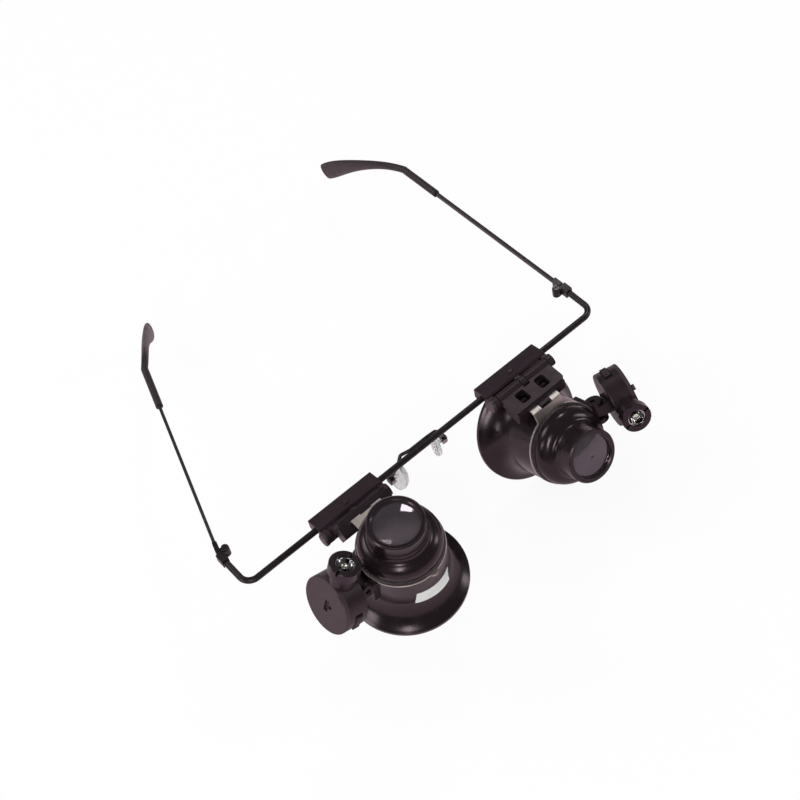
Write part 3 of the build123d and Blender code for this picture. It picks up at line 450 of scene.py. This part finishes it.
# Nose pads
# Clear silicone, moulded with a tongue that its box holds.
# It is faintly milky, and skin oil leaves its face uneven.
clouds_per_m = 260.0
skin_grain_per_m = 2200.0
skin_grain_depth = 0.00001
pad_edge_r = 0.0002
silicone, tree, out = new_tree("clear_silicone")
place = tree.nodes.new("ShaderNodeTexCoord").outputs["Object"]
cloud = add(tree, "ShaderNodeTexNoise", {"Vector": place, "Scale": clouds_per_m, "Detail": 3.0})
skin_grain = add(tree, "ShaderNodeTexNoise", {"Vector": place, "Scale": skin_grain_per_m, "Detail": 2.0})
tint = blend(tree, cloud.outputs["Fac"], "#f3f1f3", "#fcfbfc")
rough = add(tree, "ShaderNodeMapRange", {
    "Value": cloud.outputs["Fac"], **noise_span, "To Min": 0.12, "To Max": 0.3})
rounded, bump = soft_edge(tree, pad_edge_r, skin_grain.outputs["Fac"], skin_grain_depth)
pad_skin = add(tree, "ShaderNodeBsdfPrincipled", {
    "Base Color": tint,
    "Roughness": rough.outputs[0],
    "IOR": 1.41,
    "Transmission Weight": 0.8,
    "Normal": bump.outputs[0],
})
tree.links.new(pad_skin.outputs[0], out.inputs["Surface"])
dress(silicone, *both("nose_pad"))

# Clip bodies and jaws
# Black nylon, moulded with a spark-eroded grain. The jaw is pushed into the body from below, which holds
# the clip on the brow bar.
black_nylon = moulded_plastic(
    "black_nylon",
    tones=("#1e151a", "#2a1f24"),
    edge="#40353b",
    roughness=(0.36, 0.48),
    grain_mm=0.22,
    grain_depth=0.000014,
    ior=1.44,
)
dress(black_nylon, *both("clip_body", "clip_jaw"))

# Flip hinge pins
# Drawn steel rod with a formed cap on its left end, in a dull mauve grey, partly from the pickling bath and
# partly as painted light: the cap's end faces the light from the left, so the grey is lighter than the black
# parts beside it.
# The draw lines run along the rod.
# The mauve grey tones are partly painted light on the cap's left end.
pickled_rod = plain_metal(
    "pickled_rod", ("#5b5156", "#776c72"), edge="#8e8388", roughness=(0.42, 0.56), stretch=(0.05, 1, 1))
dress(pickled_rod, *both("flip_pin"))

# Flip blocks
# The same nylon as the clips, polished a little more in the tool. Each turns on its hinge pin.
polished_nylon = moulded_plastic(
    "polished_nylon",
    tones=("#1c1418", "#261c21"),
    edge="#4b4046",
    roughness=(0.36, 0.48),
    grain_mm=0.3,
    grain_depth=0.000012,
    ior=1.42,
)
dress(polished_nylon, *both("flip_block"))

# Flip springs
# Two bowed leaves of hardened strip in each block, nearly black, partly from tempering in oil and partly as
# painted shade that keeps the block's windows dark.
# The near-black tones are partly painted shade for the dark windows of the block.
oil_tempered_strip = plain_metal(
    "oil_tempered_strip", ("#1c191b", "#2e2a2d"), edge="#474245", roughness=(0.36, 0.5), stretch=(1, 0.1, 1))
dress(oil_tempered_strip, *both("flip_springs"))

# Brackets
# Stamped from nickelled steel sheet, with rolling lines across it and a bright sheared edge. The edge's
# near-white colour is also a painted highlight, for the bright line of light along the ring's rim.
# Two tabs go into the flip block, and a ring goes round the eyecup.
stamped_nickelled_steel = plain_metal(
    "stamped_nickelled_steel",
    ("#bab1ab", "#d8cfc9"),
    # Near-white edge: the sheared steel, and a painted highlight along the ring.
    edge="#fbf5ef",
    roughness=(0.34, 0.5),
    stretch=(0.06, 1, 1),
)
dress(stamped_nickelled_steel, *both("bracket"))

# Eyecups and lens caps
# Cups and caps moulded in black ABS and polished, so that soft reflections run round them.
# The cap's skirt has a fine upright knurl. Its teeth and the cap's edges are coloured a pale grey, a painted
# highlight for the glints they catch.
gloss_abs = {
    "tones": ("#140d10", "#1c1417"),
    "roughness": (0.17, 0.27),
    "grain_mm": 1.6,
    "grain_depth": 0.00001,
    "ior": 1.44,
}
polished_abs = moulded_plastic("polished_abs", edge="#3a2f35", **gloss_abs)
# The pale edge colour is a painted highlight on the knurl teeth and the cap's edges.
knurled_abs = moulded_plastic("knurled_abs", edge="#b5aaaf", edge_radius=0.0001, **gloss_abs)
dress(polished_abs, *both("eyecup"))
dress(knurled_abs, *both("lens_cap"))

# Lenses
# Ground crown glass with a thin violet-grey coating: one lens in the cap, and one on a ledge in the eyecup.
# The grey tint is partly painted shade: it darkens what is seen through the lenses, as the shade under the
# cups does.
# Handling leaves faint smears.
smears_per_m = 190.0
glass, tree, out = new_tree("coated_crown_glass")
place = tree.nodes.new("ShaderNodeTexCoord").outputs["Object"]
smear = add(tree, "ShaderNodeTexNoise", {
    "Vector": place, "Scale": smears_per_m, "Detail": 5.0, "Distortion": 1.2})
# Violet coating tint, partly painted shade that darkens the view through the lenses.
film = blend(tree, smear.outputs["Fac"], "#92888e", "#a59ba1")
rough = add(tree, "ShaderNodeMapRange", {
    "Value": smear.outputs["Fac"], "From Min": 0.4, "From Max": 0.75, "To Min": 0.03, "To Max": 0.12})
lens_skin = add(tree, "ShaderNodeBsdfPrincipled", {
    "Base Color": film,
    "Roughness": rough.outputs[0],
    "IOR": 1.72,
    "Transmission Weight": 0.93,
    "Specular Tint": colour("#fbeefa"),
})
tree.links.new(lens_skin.outputs[0], out.inputs["Surface"])
dress(glass, *both("front_lens", "rear_lens"))

# Label
# A strip of bare white vinyl film stuck on the left eyecup, slightly stained, with a fine grain in its face.
film_grain_per_m = 1800.0
film_grain_depth = 0.00001
stains_per_m = 260.0
vinyl, tree, out = new_tree("bare_vinyl_film")
place = tree.nodes.new("ShaderNodeTexCoord").outputs["Object"]
film_grain = add(tree, "ShaderNodeTexNoise", {"Vector": place, "Scale": film_grain_per_m, "Detail": 3.0})
stain = add(tree, "ShaderNodeTexNoise", {"Vector": place, "Scale": stains_per_m, "Detail": 4.0})
tone = blend(tree, stain.outputs["Fac"], "#c9c9c7", "#e9ebe9")
bump = add(tree, "ShaderNodeBump", {"Distance": film_grain_depth, "Height": film_grain.outputs["Fac"]})
film_skin = add(tree, "ShaderNodeBsdfPrincipled", {
    "Base Color": tone,
    "Roughness": 0.42,
    "Normal": bump.outputs[0],
})
tree.links.new(film_skin.outputs[0], out.inputs["Surface"])
dress(vinyl, "blank_label")

# Lamp brackets, arms and battery cases
# Small ABS mouldings, bonded and pinned. They are less polished than the cups, with a satin face.
satin_abs = moulded_plastic(
    "satin_abs",
    tones=("#1a1115", "#241a1f"),
    edge="#42373d",
    roughness=(0.3, 0.42),
    grain_mm=0.5,
    grain_depth=0.000012,
    ior=1.44,
)
dress(satin_abs, *both("lamp_bracket", "lamp_arm", "lamp_case"))

# Lamp pivot pins
# Blued steel pins, like the temple screws, driven in below the faces of the brackets' ears.
dress(blued_steel, *both("arm_pin"))

# Switches
# Satin ABS sliders with cross ribs for the thumb, rubbed lighter on the ribs.
thumbed_abs = moulded_plastic(
    "thumbed_abs",
    tones=("#261c21", "#33272c"),
    edge="#5b5056",
    roughness=(0.34, 0.46),
    grain_mm=0.3,
    grain_depth=0.000014,
    ior=1.45,
)
dress(thumbed_abs, *both("switch_slider"))

# Battery covers
# The same ABS with an eroded matt face, in a lighter grey than the case. The lighter grey is partly the
# cover's own and partly painted light, as the left cover's face turns to the light from the left. A twist
# opens it.
# The lighter tones are partly painted light on the cover's face.
eroded_abs = moulded_plastic(
    "eroded_abs",
    tones=("#2f2529", "#3b3035"),
    edge="#584d52",
    roughness=(0.48, 0.62),
    grain_mm=0.24,
    grain_depth=0.00003,
    ior=1.44,
)
dress(eroded_abs, *both("battery_cover"))

# Coin cells and their contact
# Nickelled cell cans, stacked, and a strip of springy brass on the case's floor. Both are hidden inside.
cell_can = plain_metal("cell_can", ("#b9b7b4", "#d8d6d3"), edge="#e6e4e1", roughness=(0.16, 0.28))
spring_brass = plain_metal("spring_brass", ("#b08d4a", "#cfae6b"), edge="#dcc080", roughness=(0.22, 0.36))
dress(cell_can, *both("coin_cells"))
dress(spring_brass, *both("contact_strip"))

# Lamp heads
# Thick-walled hoods in glossy ABS with a notched rim, pushed on the case's boss.
hood_abs = moulded_plastic(
    "hood_abs",
    tones=("#150d11", "#1e141a"),
    edge="#42373d",
    roughness=(0.2, 0.32),
    grain_mm=0.8,
    grain_depth=0.000012,
    ior=1.44,
)
dress(hood_abs, *both("led_head"))

# Reflectors
# Vacuum-plated plastic bowls round the diodes, with a mirror finish that is slightly rippled.
vacuum_plating = plain_metal(
    "vacuum_plating", ("#b9b8bb", "#dcdbde"), edge="#f2f1f4", roughness=(0.02, 0.07))
dress(vacuum_plating, *both("reflector"))


# Lead frames
# Two silvered posts in each diode, cast into the clear dome. The wider cup on top holds the chip.
def lead_frame(tree, size):
    """Two posts under a round cup, stood up along Z."""
    post_size = add(tree, "ShaderNodeCombineXYZ", {
        "X": size["Post width"], "Y": size["Post width"], "Z": size["Post height"]})
    post = add(tree, "GeometryNodeMeshCube", {"Size": post_size.outputs[0]})
    posts = row(tree, size, posts_in_diode, post.outputs["Mesh"])
    cup = add(
        tree,
        "GeometryNodeMeshCone",
        {"Vertices": 24, "Radius Top": size["Cup radius"], "Radius Bottom": size["Post width"],
         "Depth": size["Cup height"]},
        fill_type="NGON",
    )
    lift = add(tree, "ShaderNodeMath", {0: size["Post height"], 1: 0.5}, operation="MULTIPLY")
    above = add(tree, "ShaderNodeCombineXYZ", {"Z": lift.outputs[0]})
    raised = add(tree, "GeometryNodeTransform", {
        "Geometry": cup.outputs["Mesh"], "Translation": above.outputs[0]})
    whole = tree.nodes.new("GeometryNodeJoinGeometry")
    for part in (posts.outputs["Instances"], raised.outputs[0]):
        tree.links.new(part, whole.inputs[0])
    return whole.outputs[0]


posts_in_diode = 2
lead_sizes = {
    "Step": 0.0009,
    "Post width": 0.0004,
    "Post height": 0.0012,
    "Cup radius": 0.0007,
    "Cup height": 0.0004,
}
silvered = plain_metal("silvered_lead", ("#c9c6bf", "#e6e3dc"), edge="#f6f3ec", roughness=(0.12, 0.24))
joints = {joint["name"]: joint for joint in frame["joints"]}
for side in ("left", "right"):
    bulb_low, bulb_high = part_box(f"{side}_led_bulb")
    bulb_middle = (bulb_low + bulb_high) / 2
    # The battery cover's axis gives the diode's sideways direction, and the diode points away from it.
    twist = joints[f"{side}_cover_twist"]
    across = Vector(twist["axis"]).normalized()
    outward = bulb_middle - Vector(twist["pos_m"])
    outward = (outward - across * outward.dot(across)).normalized()
    upright = Matrix((across, outward.cross(across), outward)).transposed().to_4x4()
    leads = grown(f"{side}_lead_frame", lead_sizes, lead_frame, silvered)
    leads.data.transform(Matrix.Translation(bulb_middle) @ upright)
    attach(leads, f"{side}_lamp")

# Light-emitting diodes
# Clear epoxy domes, cast round the lead frames and faintly yellow from the phosphor at their base.
casts_per_m = 700.0
epoxy, tree, out = new_tree("clear_epoxy")
place = tree.nodes.new("ShaderNodeTexCoord").outputs["Object"]
cast = add(tree, "ShaderNodeTexNoise", {"Vector": place, "Scale": casts_per_m, "Detail": 3.0})
tint = blend(tree, cast.outputs["Fac"], "#efeae2", "#fbfaf6")
rough = add(tree, "ShaderNodeMapRange", {
    "Value": cast.outputs["Fac"], **noise_span, "To Min": 0.0, "To Max": 0.04})
dome = add(tree, "ShaderNodeBsdfPrincipled", {
    "Base Color": tint,
    "Roughness": rough.outputs[0],
    "IOR": 1.54,
    "Transmission Weight": 1.0,
})
tree.links.new(dome.outputs[0], out.inputs["Surface"])
dress(epoxy, *both("led_bulb"))
